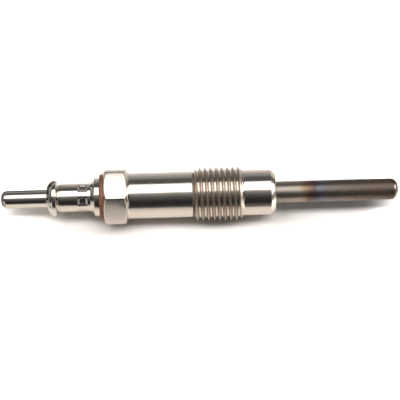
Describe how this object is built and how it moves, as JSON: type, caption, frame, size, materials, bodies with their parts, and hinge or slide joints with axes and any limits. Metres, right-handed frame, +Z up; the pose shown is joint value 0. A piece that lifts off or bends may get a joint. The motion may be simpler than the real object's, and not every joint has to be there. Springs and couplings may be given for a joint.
{
  "type": "diesel glow plug",
  "caption": "Sheathed-element glow plug with a bullet terminal pin, crimped barrel, hexagon, fine thread, conical seat and long heat-tinted glow tube, lying on its hexagon.",
  "frame": {"origin": "under the middle of the plug's length, on the surface that it lies on", "axes": "+X along the plug's axis towards the glow tip, +Z up from the flat of the hexagon that it lies on"},
  "size_m": [0.09, 0.0136, 0.012],
  "materials": {
    "bright_nickel": "bright nickel plate on turned steel",
    "satin_nickel": "satin nickel plate on machined steel",
    "phenolic": "moulded phenolic, semi-matt",
    "heat_tinted_alloy": "nickel alloy with heat tints and oxide",
    "plain_steel": "drawn steel",
    "black_rubber": "moulded rubber",
    "magnesia": "packed powder",
    "resistance_wire": "drawn wire"
  },
  "bodies": {
    "root": {"terminal": "bright_nickel", "insulating_washer": "phenolic", "housing": "satin_nickel", "rubber_ring": "black_rubber", "centre_rod": "plain_steel", "tube_plug": "black_rubber", "glow_tube": "heat_tinted_alloy", "magnesia_fill": "magnesia", "regulating_coil": "resistance_wire", "heating_coil": "resistance_wire"}
  },
  "joints": []
}
